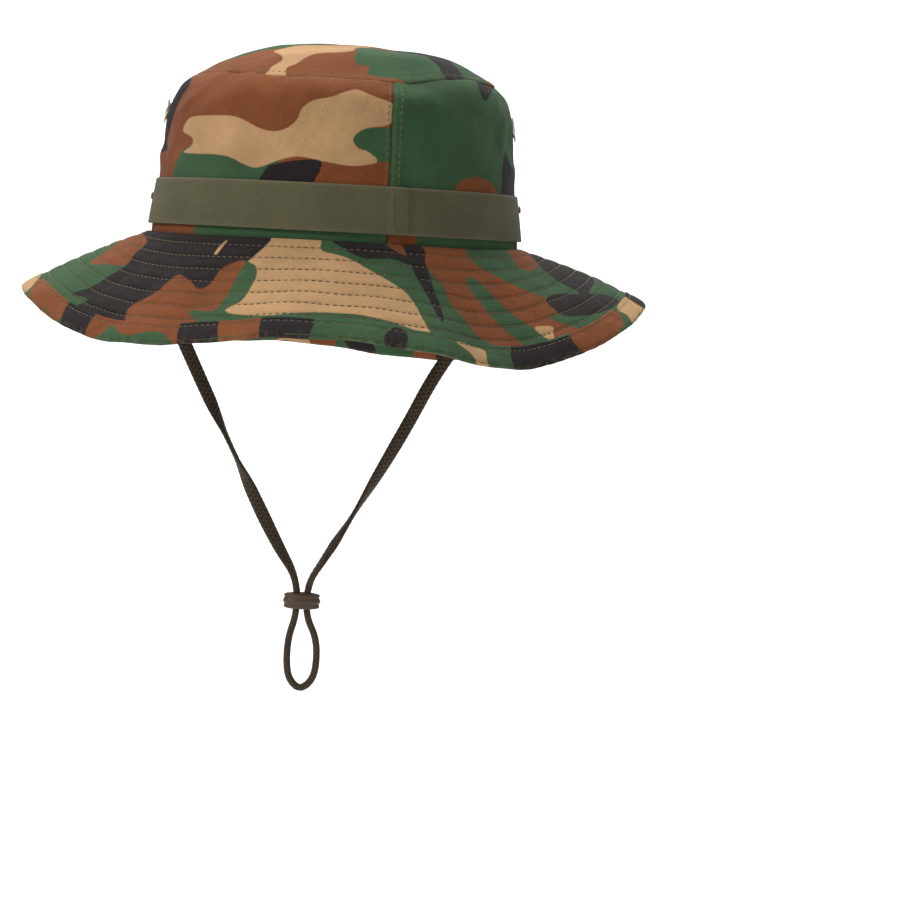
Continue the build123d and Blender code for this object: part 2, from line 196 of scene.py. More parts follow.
def make_studio():
    """A pale floor that curves up behind, and broad soft lights."""
    depth, rise, bend = 2.4, -0.5, 0.9
    profile = [(-4.0, rise), (-1.0, rise), (depth - bend, rise)]
    profile += [(depth - bend + bend * math.sin(t), rise + bend - bend * math.cos(t))
                for t in np.linspace(0.15, math.pi / 2, 12)]
    profile += [(depth, 4.0)]
    verts = [(x, y, z) for y, z in profile for x in (-5.0, 5.0)]
    faces = [(2 * i, 2 * i + 1, 2 * i + 3, 2 * i + 2) for i in range(len(profile) - 1)]
    mesh = bpy.data.meshes.new("floor")
    mesh.from_pydata(verts, [], faces)
    mesh.shade_smooth()
    floor = bpy.data.objects.new("floor", mesh)
    bpy.context.scene.collection.objects.link(floor)
    paint = Paint("floor_paper", roughness=0.9)
    paint.shader.inputs["Base Color"].default_value = (0.93, 0.93, 0.93, 1)
    floor.data.materials.append(paint.material)
    area_light("key", (-1.6, -1.2, 1.3), (0, 0, 0), 0.7, 29)
    area_light("fill", (1.3, -2.0, 0.4), (0, 0, 0), 1.4, 6)
    area_light("top", (-0.1, 0.3, 2.2), (0, 0.1, 0), 1.6, 11)
    area_light("backdrop", (0, 1.1, 2.6), (0, 2.2, -0.2), 1.8, 90)
    world = bpy.data.worlds.new("studio")
    bpy.context.scene.world = world
    world.use_nodes = True
    world.node_tree.nodes["Background"].inputs["Color"].default_value = (1, 1, 1, 1)
    world.node_tree.nodes["Background"].inputs["Strength"].default_value = 0.30
    bpy.context.scene.view_settings.view_transform = "Standard"


# ---- materials ----

def linear(red, green, blue):
    """A display colour, 0 to 255, as the linear colour that a shader takes."""
    return tuple((c / 255 / 12.92) if c <= 10 else ((c / 255 + 0.055) / 1.055) ** 2.4
                 for c in (red, green, blue)) + (1.0,)


class Paint:
    """A material's nodes, made a line at a time."""

    def __init__(self, name, roughness=0.85, metallic=0.0, sheen=0.0, specular=0.3):
        self.material = bpy.data.materials.new(name)
        self.material.use_nodes = True
        self.tree = self.material.node_tree
        self.shader = self.tree.nodes["Principled BSDF"]
        self.shader.inputs["Roughness"].default_value = roughness
        self.shader.inputs["Metallic"].default_value = metallic
        self.shader.inputs["Sheen Weight"].default_value = sheen
        self.shader.inputs["Sheen Roughness"].default_value = 0.6
        self.shader.inputs["Specular IOR Level"].default_value = specular

    def node(self, kind, *links, **settings):
        """A node of a kind; links are (input, output or value)."""
        made = self.tree.nodes.new("ShaderNode" + kind)
        for key, value in settings.items():
            setattr(made, key, value)
        for key, value in links:
            if isinstance(value, bpy.types.NodeSocket):
                self.tree.links.new(value, made.inputs[key])
            else:
                made.inputs[key].default_value = value
        return made

    def place(self):
        return self.node("TexCoord").outputs["Object"]

    def cloth_place(self):
        return self.node("UVMap", uv_map="cloth").outputs["UV"]

    def field(self, name):
        return self.node("Attribute", attribute_name=name).outputs["Fac"]

    def noise(self, where, size, detail=2.0, rough=0.5):
        """Noise with features of a size in millimetres, 0 to 1."""
        return self.node("TexNoise", ("Vector", where), ("Scale", 1 / (size * MM)), ("Detail", detail),
                         ("Roughness", rough)).outputs["Fac"]

    def stripes(self, where, pitch, direction="DIAGONAL", warp=0.0):
        """Waves at a pitch in millimetres, 0 to 1."""
        return self.node("TexWave", ("Vector", where), ("Scale", 0.314 / (pitch * MM)),
                         ("Distortion", warp), bands_direction=direction).outputs["Fac"]

    def math(self, operation, a, b):
        return self.node("Math", (0, a), (1, b), operation=operation).outputs[0]

    def spread(self, value, low, high, to_low=0.0, to_high=1.0):
        return self.node("MapRange", ("Value", value), ("From Min", low), ("From Max", high),
                         ("To Min", to_low), ("To Max", to_high)).outputs["Result"]

    def mix(self, share, a, b):
        made = self.node("Mix", data_type="RGBA")
        for socket, value in ((made.inputs[0], share), (made.inputs[6], a), (made.inputs[7], b)):
            if isinstance(value, bpy.types.NodeSocket):
                self.tree.links.new(value, socket)
            else:
                socket.default_value = value
        return made.outputs[2]

    def shade(self, colour, amount):
        """A colour made lighter and darker by a socket about 1."""
        return self.node("VectorMath", (0, colour), (1, self.node(
            "CombineXYZ", ("X", amount), ("Y", amount), ("Z", amount)).outputs[0]),
            operation="MULTIPLY").outputs[0]

    def colour(self, socket):
        self.tree.links.new(socket, self.shader.inputs["Base Color"])

    def rough(self, socket):
        self.tree.links.new(socket, self.shader.inputs["Roughness"])

    def bump(self, height, distance, strength=1.0, under=None):
        links = [("Height", height), ("Distance", distance * MM), ("Strength", strength)]
        if under is not None:
            links.append(("Normal", under))
        made = self.node("Bump", *links).outputs["Normal"]
        self.tree.links.new(made, self.shader.inputs["Normal"])
        return made


PRINT = {
    "green": linear(54, 81, 53),
    "brown": linear(116, 65, 35),
    "tan": linear(174, 138, 98),
    "black": linear(34, 29, 30),
}


def camouflage(name):
    """Printed cotton twill. The print's outlines are fields on the mesh, above 0 inside a colour."""
    paint = Paint(name, roughness=0.92, sheen=0.03, specular=0.1)
    where, cloth = paint.place(), paint.cloth_place()
    fray = paint.spread(paint.noise(where, 1.1, 3.0, 0.7), 0.0, 1.0, -0.3, 0.3)
    colour = PRINT["green"]
    for shade in ("brown", "tan", "black"):
        edge = paint.math("ADD", paint.field("print_" + shade), fray)
        colour = paint.mix(paint.spread(edge, -0.25, 0.25), colour, PRINT[shade])
    worn = paint.math("MULTIPLY", paint.field("wear"), paint.spread(
        paint.noise(where, 2.5, 4.0, 0.7), 0.42, 0.68))
    colour = paint.mix(paint.math("MULTIPLY", worn, 0.14), colour, linear(168, 150, 120))
    blotch = paint.spread(paint.noise(where, 22.0, 4.0, 0.6), 0.3, 0.7, 0.86, 1.12)
    speck = paint.spread(paint.noise(where, 0.7, 3.0, 0.75), 0.3, 0.7, 0.86, 1.14)
    twill = paint.stripes(cloth, 0.75, warp=0.6)
    thread = paint.spread(twill, 0.0, 1.0, 0.97, 1.02)
    colour = paint.shade(colour, paint.math("MULTIPLY", blotch, paint.math("MULTIPLY", speck, thread)))
    paint.colour(colour)
    crease = paint.bump(paint.noise(where, 11.0, 3.0, 0.55), 2.4, 0.5)
    nap = paint.bump(paint.noise(where, 0.8, 3.0, 0.7), 0.22, 0.5, crease)
    paint.bump(twill, 0.06, 0.5, nap)
    return paint.material


def ribbed_webbing():
    """Grosgrain: fine ribs across the band and a flat weave between them."""
    paint = Paint("webbing", roughness=0.85, sheen=0.03, specular=0.12)
    where, cloth = paint.place(), paint.cloth_place()
    ribs = paint.stripes(cloth, 1.1, "X", 0.25)
    picks = paint.stripes(cloth, 0.9, "Y", 0.3)
    colour = paint.mix(paint.spread(ribs, 0.2, 0.9), linear(80, 77, 56), linear(90, 87, 64))
    colour = paint.mix(paint.math("MULTIPLY", paint.field("wear"), 0.45), colour, linear(140, 132, 104))
    blotch = paint.spread(paint.noise(where, 18.0, 3.0), 0.3, 0.7, 0.93, 1.06)
    speck = paint.spread(paint.noise(where, 0.8, 3.0, 0.7), 0.3, 0.7, 0.88, 1.12)
    paint.colour(paint.shade(colour, paint.math("MULTIPLY", blotch, speck)))
    under = paint.bump(ribs, 0.12, 0.7)
    paint.bump(picks, 0.12, 0.6, under)
    return paint.material


def plain_cotton(name, light, dark, pitch):
    """A flat woven cotton, in two close shades."""
    paint = Paint(name, roughness=0.92, sheen=0.1, specular=0.15)
    where, cloth = paint.place(), paint.cloth_place()
    across, along = paint.stripes(cloth, pitch, "X", 0.4), paint.stripes(cloth, pitch, "Y", 0.4)
    check = paint.math("MULTIPLY", across, along)
    colour = paint.mix(paint.spread(check, 0.0, 0.8), dark, light)
    stain = paint.spread(paint.noise(where, 22.0, 4.0, 0.6), 0.3, 0.75, 0.86, 1.06)
    paint.colour(paint.shade(colour, stain))
    paint.bump(check, 0.16, 0.6, paint.bump(paint.noise(where, 6.0, 3.0), 0.7, 0.3))
    return paint.material


def sewing_thread():
    paint = Paint("sewing_thread", roughness=0.6, sheen=0.1, specular=0.3)
    where = paint.place()
    twist = paint.noise(where, 0.35, 2.0)
    colour = paint.mix(paint.spread(twist, 0.35, 0.65), linear(84, 72, 44), linear(122, 104, 68))
    paint.colour(paint.shade(colour, paint.spread(paint.noise(where, 14.0), 0.3, 0.7, 0.85, 1.12)))
    paint.bump(twist, 0.08, 0.5)
    return paint.material


def braid():
    """Tubular braid pulled flat: plaited yarns, with painted shade in the gaps between them."""
    paint = Paint("braid", roughness=0.72, sheen=0.08, specular=0.3)
    where, cloth = paint.place(), paint.cloth_place()
    flipped = paint.node("VectorMath", (0, cloth), (1, (-1, 1, 1)), operation="MULTIPLY").outputs[0]
    plait = paint.math("MAXIMUM", paint.stripes(cloth, 1.15, warp=0.2),
                       paint.stripes(flipped, 1.15, warp=0.2))
    # The dark colour is painted shade in the gaps between the yarns; the lighter one is the yarn's own
    # colour.
    colour = paint.mix(paint.spread(plait, 0.5, 1.0), linear(26, 18, 10), linear(70, 55, 34))
    speck = paint.spread(paint.noise(where, 0.6, 3.0, 0.7), 0.3, 0.7, 0.8, 1.2)
    worn = paint.spread(paint.noise(where, 12.0, 2.0), 0.3, 0.7, 0.9, 1.1)
    paint.colour(paint.shade(colour, paint.math("MULTIPLY", speck, worn)))
    paint.bump(plait, 0.3, 0.8, paint.bump(paint.noise(where, 0.5, 3.0), 0.12, 0.5))
    return paint.material


def slider_plastic():
    """Moulded nylon, scuffed on its rims."""
    paint = Paint("slider_plastic", roughness=0.45, specular=0.4)
    where = paint.place()
    scuff = paint.spread(paint.noise(where, 1.6, 5.0, 0.7), 0.55, 0.75)
    worn = paint.math("MULTIPLY", paint.math("ADD", paint.field("wear"), 0.15), scuff)
    paint.colour(paint.mix(worn, linear(70, 53, 35), linear(120, 98, 70)))
    paint.rough(paint.spread(paint.noise(where, 2.2, 4.0), 0.3, 0.7, 0.36, 0.6))
    paint.bump(paint.noise(where, 0.5, 3.0, 0.6), 0.08, 0.4)
    return paint.material


def plated_metal(name, bright, dull, dark, low, high, scale):
    """Metal with handling marks and a darker tint in places."""
    paint = Paint(name, roughness=0.35, metallic=1.0)
    where = paint.place()
    patch = paint.noise(where, scale, 4.0, 0.65)
    colour = paint.mix(paint.spread(patch, 0.35, 0.65), bright, dull)
    colour = paint.mix(paint.spread(paint.noise(where, scale / 3, 5.0, 0.7), 0.58, 0.78), colour, dark)
    paint.colour(colour)
    paint.rough(paint.spread(paint.noise(where, scale / 2, 4.0), 0.3, 0.7, low, high))
    paint.bump(paint.noise(where, 0.35, 3.0, 0.7), 0.04, 0.4)
    return paint.material


def woven_gauze():
    """Fine wire mesh: light wires round holes painted dark, as painted shade of the hollow behind them."""
    paint = Paint("gauze", roughness=0.4, metallic=0.7)
    where = paint.place()
    hole = paint.math("MULTIPLY", paint.stripes(where, 0.62, "Z"), paint.stripes(where, 0.62, "Y"))
    wire = paint.spread(hole, 0.2, 0.5, 1.0, 0.0)
    # The dark colour is painted shade in the holes between the wires.
    paint.colour(paint.mix(wire, linear(70, 66, 62), linear(178, 174, 168)))
    paint.bump(wire, 0.15, 0.7)
    return paint.material


# ---- shapes in numbers ----

def curve_through(points, steps, closed=False):
    """Points along a smooth curve through a list of points."""
    p = np.array(points, float)
    count = len(p)
    spans = count if closed else count - 1
    t = np.arange(steps)[:, None] / steps
    out = []
    for i in range(spans):
        if closed:
            a, b, c, d = (p[(i + k) % count] for k in (-1, 0, 1, 2))
        else:
            a, b, c, d = (p[min(max(i + k, 0), count - 1)] for k in (-1, 0, 1, 2))
        out.append(0.5 * (2 * b + (c - a) * t + (2 * a - 5 * b + 4 * c - d) * t ** 2
                          + (3 * b - a - 3 * c + d) * t ** 3))
    if not closed:
        out.append(p[-1:])
    return np.concatenate(out)


def evenly(line, count):
    """A polyline measured out again into evenly spaced points."""
    gaps = np.linalg.norm(np.diff(line, axis=0), axis=1)
    along = np.concatenate([[0], np.cumsum(gaps)])
    at = np.linspace(0, along[-1], count)
    return np.stack([np.interp(at, along, line[:, k]) for k in range(line.shape[1])], axis=1)


def smooth_step(value, low, high):
    t = np.clip((value - low) / (high - low), 0, 1)
    return t * t * (3 - 2 * t)


def around(count):
    """Angles evenly round a turn, in a column."""
    return np.linspace(0, 2 * math.pi, count, endpoint=False)[:, None]


def round_length(ring):
    """Length round closed rings of points, for the cloth's weave."""
    return np.cumsum(np.linalg.norm(ring - np.roll(ring, 1, axis=0), axis=-1), axis=0)


def grain(points, size, seed=0.0):
    """Smooth noise at points, about -1 to 1, with features of a size in millimetres."""
    flat = points.reshape(-1, 3) / np.array(size, float) + seed
    values = np.fromiter((noise.noise(p) for p in flat), float, len(flat))
    return values.reshape(points.shape[:-1])


def wall_radius(z):
    line = curve_through(WALL, 12)
    return np.interp(z, line[:, 1], line[:, 0])


def on_wall(angle, z, outside=0.0):
    """Points on the crown's wall; outside is square to its section."""
    radius = wall_radius(z)
    nx, ny = np.cos(angle) / HALF_WIDTH, np.sin(angle) / HALF_LENGTH
    size = np.sqrt(nx * nx + ny * ny)
    return np.stack([radius * np.cos(angle) + outside * nx / size,
                     radius * STRETCH * np.sin(angle) + outside * ny / size,
                     z + 0.0 * angle], axis=-1)


def drop(angle):
    """How far the brim's edge hangs below the crown seam, as in the CAD."""
    turn = (np.degrees(angle) + 180) % 360 - 180
    places, drops = np.array(DROOP, dtype=float).T
    k = np.clip(np.searchsorted(places, turn, side="right") - 1, 0, len(places) - 2)
    share = (turn - places[k]) / (places[k + 1] - places[k])
    return drops[k] + (drops[k + 1] - drops[k]) * (1 - np.cos(np.pi * share)) / 2


def on_brim(angle, along, above):
    """Points of the brim: along it from the seam, and above its middle surface."""
    fall = drop(angle) / BRIM_WIDTH
    reach = np.sqrt(1 - fall * fall)
    nx, ny = np.cos(angle) / HALF_WIDTH, np.sin(angle) / HALF_LENGTH
    size = np.sqrt(nx * nx + ny * ny)
    lift = above + ripple(angle, along)
    out = along * reach + lift * fall
    return np.stack([HALF_WIDTH * np.cos(angle) + out * nx / size,
                     HALF_LENGTH * np.sin(angle) + out * ny / size,
                     lift * reach - along * fall], axis=-1)


def ripple(angle, along):
    """Slow unevenness that all the brim's layers share, and a bulge at the sides, flat at the snaps."""
    share = smooth_step(along, 4, 50)
    nearest_snap = np.maximum(np.cos(angle - SNAP_TURN), np.cos(angle - math.pi + SNAP_TURN))
    from_snap = np.hypot(140 * np.sqrt(2 - 2 * np.minimum(nearest_snap, 1)),
                         along - BRIM_WIDTH + SNAP_FROM_EDGE)
    free = smooth_step(from_snap, 6, 22)
    bulge = 1.7 * np.sin(math.pi * np.clip(along / BRIM_WIDTH, 0, 1)) * np.cos(angle) ** 4
    slow = (0.7 * np.sin(5 * angle + 0.8) * np.sin(2 * angle) + 0.5 * np.sin(11 * angle + 2.0)
            + 0.35 * np.sin(23 * angle + along / 14))
    return free * (bulge + share * slow)


# ---- the print ----

def signed_distance(u, w, outline):
    """Distance from a closed outline, above 0 inside it."""
    p = curve_through(outline, 5, closed=True)
    nearest = np.full(u.shape, 1e9)
    inside = np.zeros(u.shape, bool)
    for (x0, y0), (x1, y1) in zip(p, np.roll(p, -1, axis=0)):
        run, rise = x1 - x0, y1 - y0
        length = run * run + rise * rise + 1e-12
        t = np.clip(((u - x0) * run + (w - y0) * rise) / length, 0, 1)
        nearest = np.minimum(nearest, np.hypot(u - x0 - t * run, w - y0 - t * rise))
        if y0 != y1:
            crosses = ((y0 > w) != (y1 > w)) & (u < run * (w - y0) / rise + x0)
            inside ^= crosses
    return np.where(inside, nearest, -nearest)


ORDER = ("brown", "tan", "black")


def painted(u, w, base, shapes):
    """Fields of the print's colours after painting shapes over a base colour."""
    fields = {c: np.full(u.shape, 8.0 if c == base else -8.0) for c in ORDER}
    for colour, outline in shapes:
        inside = signed_distance(u, w, outline)
        rank = ORDER.index(colour) if colour in ORDER else -1
        if rank >= 0:
            fields[colour] = np.maximum(fields[colour], inside)
        for higher in ORDER[rank + 1:]:
            fields[higher] = np.minimum(fields[higher], -inside)
    return {c: np.clip(f, -8, 8) for c, f in fields.items()}


def wild(points, size, seed):
    """The print where no outline is drawn: smooth blots, longer one way."""
    bend = 9.0 * np.stack([grain(points, 60, seed + 5), grain(points, 60, seed + 9),
                           grain(points, 60, seed + 13)], axis=-1)
    cut = {"brown": 0.02, "tan": 0.24, "black": 0.20}
    return {c: np.clip((grain(points + bend, size, seed + 31 * k) - cut[c]) * 34, -8, 8)
            for k, c in enumerate(ORDER)}


def front_print(points, base, shapes, size, seed, share):
    """Drawn outlines in front, melting into blots where share goes from 0 to 1."""
    ahead = EYE / (EYE + points[..., 1])
    drawn = painted(points[..., 0] * ahead, points[..., 2] * ahead, base, shapes)
    blots = wild(points, size, seed)
    return {"print_" + c: drawn[c] * (1 - share) + blots[c] * share for c in ORDER}


def round_side(points, low=78, high=96):
    """0 in front and 1 from the sides on back, by the angle from straight ahead."""
    turned = np.degrees(np.abs(np.arctan2(points[..., 0] / HALF_WIDTH, -points[..., 1] / HALF_LENGTH)))
    return smooth_step(turned, low, high)


# ---- meshes ----

def add_object(name, verts, faces, material, fields, cloth):
    mesh = bpy.data.meshes.new(name)
    mesh.from_pydata((np.asarray(verts) * MM).tolist(), [], faces)
    for key, values in fields.items():
        layer = mesh.attributes.new(key, "FLOAT", "POINT")
        layer.data.foreach_set("value", np.asarray(values, np.float32).ravel())
    if cloth is not None:
        corner = np.empty(len(mesh.loops), np.int32)
        mesh.loops.foreach_get("vertex_index", corner)
        mesh.uv_layers.new(name="cloth")
        mesh.uv_layers["cloth"].data.foreach_set(
            "uv", (np.asarray(cloth)[corner] * MM).astype(np.float32).ravel())
    mesh.materials.append(material)
    mesh.shade_smooth()
    made = bpy.data.objects.new(name, mesh)
    bpy.context.scene.collection.objects.link(made)
    return made


def grid_faces(rows, columns, wrap, start=0, flip=False):
    faces = []
    for i in range(rows if wrap else rows - 1):
        j = (i + 1) % rows
        for k in range(columns - 1):
            face = (start + i * columns + k, start + j * columns + k,
                    start + j * columns + k + 1, start + i * columns + k + 1)
            faces.append(face[::-1] if flip else face)
    return faces


def shell(name, outer, inner, material, fields=None, cloth=None, wrap=False, holes=()):
    """A closed sheet of cloth between an outer and an inner grid of points."""
    rows, columns = outer.shape[:2]
    count = rows * columns
    verts = np.concatenate([outer.reshape(-1, 3), inner.reshape(-1, 3)])
    faces = grid_faces(rows, columns, wrap) + grid_faces(rows, columns, wrap, count, True)
    for i in range(rows if wrap else rows - 1):
        j = (i + 1) % rows
        for k in (0, columns - 1):
            a, b = i * columns + k, j * columns + k
            face = (a, a + count, b + count, b)
            faces.append(face if k == 0 else face[::-1])
    if not wrap:
        for i in (0, rows - 1):
            for k in range(columns - 1):
                a = i * columns + k
                face = (a, a + 1, a + 1 + count, a + count)
                faces.append(face if i == 0 else face[::-1])
    for centre, axis, radius in holes:
        faces = cut_hole(verts, faces, count, centre, axis, radius)
    both = {key: np.concatenate([np.ravel(v), np.ravel(v)]) for key, v in (fields or {}).items()}
    place = None if cloth is None else np.concatenate([cloth.reshape(-1, 2)] * 2)
    return add_object(name, verts, faces, material, both, place)


def cut_hole(verts, faces, count, centre, axis, radius):
    """Opens a round hole through both skins, with a wall between them."""
    centre, axis = np.array(centre, float), np.array(axis, float) / np.linalg.norm(axis)
    away = verts - centre
    level = away @ axis
    flat = away - level[:, None] * axis
    far = np.linalg.norm(flat, axis=1)
    near = np.abs(level) < 6
    rim = near & (far > radius - 0.75) & (far < radius + 0.75)
    verts[rim] += flat[rim] * ((radius / far[rim]) - 1)[:, None]
    gone = near & (far <= radius - 0.75)
    touched = gone | rim
    lost = [f for f in faces if all(touched[v] for v in f) and any(gone[v] for v in f)]
    lost_set = set(lost)
    kept = [f for f in faces if f not in lost_set]
    edges = {}
    for f in lost:
        for a, b in zip(f, f[1:] + f[:1]):
            edges[(a, b)] = edges.get((a, b), 0) + 1
    for (a, b) in edges:
        if (b, a) not in edges and a < count and b < count:
            kept.append((a, b, b + count, a + count))
    return kept


def ribbon_normals(points):
    """Unit normals of a grid of points."""
    du = np.gradient(points, axis=0)
    dv = np.gradient(points, axis=1)
    n = np.cross(du, dv)
    return n / np.maximum(np.linalg.norm(n, axis=-1, keepdims=True), 1e-9)


def stitches(line, outward, pitch=3.0, length=2.2, thick=0.24, sink=0.05):
    """Running stitches along a line: small threads, each dipping into the cloth at its ends."""
    gaps = np.linalg.norm(np.diff(line, axis=0), axis=1)
    along = np.concatenate([[0], np.cumsum(gaps)])
    count = int(along[-1] // pitch)
    shape = [(0.0, 0.25, -0.28), (0.12, 0.8, 0.0), (0.5, 1.0, 0.16), (0.88, 0.8, 0.0), (1.0, 0.25, -0.28)]
    sides = 6
    verts, faces = [], []
    for i in range(count):
        start = i * pitch + (pitch - length) / 2
        for k, (t, wide, lift) in enumerate(shape):
            at = start + t * length
            centre = np.array([np.interp(at, along, line[:, c]) for c in range(3)])
            up = np.array([np.interp(at, along, outward[:, c]) for c in range(3)])
            up /= np.linalg.norm(up)
            ahead = np.array([np.interp(min(at + 0.5, along[-1]), along, line[:, c]) for c in range(3)])
            behind = np.array([np.interp(max(at - 0.5, 0), along, line[:, c]) for c in range(3)])
            across = np.cross(ahead - behind, up)
            across /= max(np.linalg.norm(across), 1e-9)
            ring = len(verts)
            for s in range(sides):
                turn = 2 * math.pi * s / sides
                verts.append(centre + up * (lift - sink + wide * thick * math.sin(turn))
                             + across * wide * thick * math.cos(turn))
            if k:
                for s in range(sides):
                    n = (s + 1) % sides
                    faces.append((ring - sides + s, ring - sides + n, ring + n, ring + s))
            else:
                faces.append(tuple(ring + s for s in reversed(range(sides))))
        faces.append(tuple(ring + s for s in range(sides)))
    return verts, faces


def stitch_object(name, runs, material):
    """One piece from several runs of stitches: each run is (line, outward)."""
    verts, faces = [], []
    for line, outward in runs:
        more, those = stitches(line, outward)
        faces += [tuple(v + len(verts) for v in f) for f in those]
        verts += more
    return add_object(name, np.array(verts), faces, material, {}, None)


def middle(node):
    low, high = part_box(node)
    return np.array((low + high) / 2) / MM


# ---- crown ----

def vent_axes():
    """Centre and outward axis of each vent, from its eyelet's place."""
    for side in ("left", "right"):
        for end in ("front", "back"):
            centre = middle(f"vent_eyelet_{side}_{end}")
            axis = (centre[0] / HALF_WIDTH ** 2, centre[1] / HALF_LENGTH ** 2, 0.0)
            axis = np.array(axis) / np.linalg.norm(axis)
            yield centre, axis + np.array((0, 0, 0.11))


def slump(points):
    """The crown's cloth where it sinks: over the wearer's right, and along the front of its top."""
    x, y, z = points[..., 0], points[..., 1], points[..., 2]
    right = smooth_step(-x, 18, 66) * smooth_step(z, 52, 74)
    front = smooth_step(-y, 52, 82) * smooth_step(z, 60, 75) * (1 - smooth_step(np.abs(x), 30, 62))
    sunk = points.copy()
    sunk[..., 2] -= 2.6 * right + 4.0 * front
    sunk[..., 0] += 2.4 * right
    return sunk


def wall_relief(points, height, from_seam, folded):
    """How far the wall's cloth stands out: soft folds, and puckers beside the seams."""
    folds = 1.8 * grain(points, (36, 36, 17), 3.0) + 1.1 * grain(points, (17, 17, 13), 8.0)
    slanted = points @ np.array([[0.9, 0.0, 0.45], [0.0, 1.0, 0.0], [-0.45, 0.0, 0.9]])
    folds += 0.9 * (0.5 - 2 * np.abs(grain(slanted, (14, 30, 34), 31.0)))
    folds *= smooth_step(height, 25, 40)
    tight = np.exp(-(RIM_HEIGHT - height) / 6.0)
    pucker = grain(points, (3.6, 3.6, 14), 21.0)
    side = np.exp(-from_seam / 4.0)
    seam = -0.7 * np.exp(-(from_seam / 0.6) ** 2) + 0.25 * side * grain(points, (9, 9, 4.5), 5.0)
    if folded:
        seam += 0.4 * smooth_step(from_seam, 0.2, 1.0) * (1 - smooth_step(from_seam, 5.2, 6.6))
    else:
        seam += 0.15 * (1 - smooth_step(from_seam, 1.6, 2.8))
    lip = -0.5 * np.exp(-((RIM_HEIGHT - height) / 0.7) ** 2)
    return folds + 0.3 * tight * pucker + seam + lip


def crown_panel(name, side, material, shapes, base, columns):
    """One of the crown's two side panels, from seam to seam."""
    profile = evenly(curve_through(WALL, 12), 66)
    height = profile[:, 1]
    share = np.linspace(0, 1, columns)[:, None]
    edge = np.arccos(SEAM_X / profile[:, 0])[None, :]
    angle = -edge + 2 * edge * share if side > 0 else edge + (2 * math.pi - 2 * edge) * share
    z = np.broadcast_to(height, angle.shape)
    flat = on_wall(angle, z)
    arc = np.concatenate([np.zeros((1, flat.shape[1])),
                          np.cumsum(np.linalg.norm(np.diff(flat, axis=0), axis=-1), axis=0)])
    from_seam = np.minimum(arc, arc[-1:] - arc)
    relief = wall_relief(flat, z, from_seam, side > 0)
    for centre, _ in vent_axes():
        relief *= smooth_step(np.linalg.norm(flat - centre, axis=-1), 8, 20)
    outer, inner = slump(on_wall(angle, z, relief)), slump(on_wall(angle, z, relief - CLOTH))
    fields = front_print(outer, base, shapes, (46, 46, 19), 40.0 + side, round_side(outer))
    fields["wear"] = np.exp(-(RIM_HEIGHT - z) / 1.6) + np.exp(-from_seam / 1.0)
    cloth = np.stack([arc, z], axis=-1)
    holes = [(c, a, VENT_HOLE) for c, a in vent_axes() if c[0] * side > 0]
    panel = shell(name, outer, inner, material, fields, cloth, holes=holes)
    return panel, outer


def crown_top(material):
    """The oval top, stitched round its edge."""
    profile = evenly(curve_through(TIP, 12), 52)
    angle = around(400)
    radius, z = profile[:, 0][None, :], profile[:, 1][None, :]
    flat = np.stack([radius * np.cos(angle), radius * STRETCH * np.sin(angle), z + 0 * angle], axis=-1)
    inwards = TIP_REACH - radius + 0 * angle
    folds = 1.5 * grain(flat, (36, 36, 36), 60.0) + 0.7 * grain(flat, (15, 15, 15), 66.0)
    folds *= smooth_step(inwards, 0, 12)
    pucker = 0.3 * np.exp(-inwards / 5.0) * grain(flat, (4.2, 4.2, 4.2), 71.0)
    groove = -0.3 * np.exp(-((inwards - 2.6) / 0.8) ** 2)
    lip = -0.6 * np.exp(-(inwards / 0.9) ** 2)
    lift = folds + pucker + groove + lip
    outer = slump(flat + np.array((0, 0, 1.0)) * lift[..., None])
    inner = outer - np.array((0, 0, CLOTH))
    fields = front_print(outer, "green", TIP_SHAPES, (30, 54, 40), 90.0, smooth_step(outer[..., 1], -46, -22))
    fields["wear"] = np.exp(-inwards / 1.5)
    return shell("crown_top", outer, inner, material, fields, outer[..., :2], wrap=True), outer


def make_crown(cloth, thread):
    left, left_skin = crown_panel("crown_side_left", 1, cloth, CROWN_LEFT_SHAPES, "green", 216)
    right, right_skin = crown_panel("crown_side_right", -1, cloth, CROWN_RIGHT_SHAPES, "brown", 330)
    top, top_skin = crown_top(cloth)
    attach(left, "root")
    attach(right, "root")
    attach(top, "root")
    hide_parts("crown_side_panel_left")
    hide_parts("crown_side_panel_right")
    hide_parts("crown_tip")
    runs = []
    for skin, columns in ((left_skin, (4, -5)), (right_skin, (2, -3))):
        normals = ribbon_normals(skin)
        for column in columns:
            runs.append((skin[column, 22:-2], normals[column, 22:-2]))
    ring = top_skin[:, 2]
    up = -ribbon_normals(top_skin)[:, 2]
    up = up * np.sign(up[:, 2:3])
    runs.append((np.concatenate([ring, ring[:1]]), np.concatenate([up, up[:1]])))
    seams = stitch_object("crown_stitching", runs, thread)
    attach(seams, "root")


def band_gap(z):
    return np.interp(z, [BAND[0], sum(BAND) / 2, BAND[1]], [1.1, 0.76, 0.25])


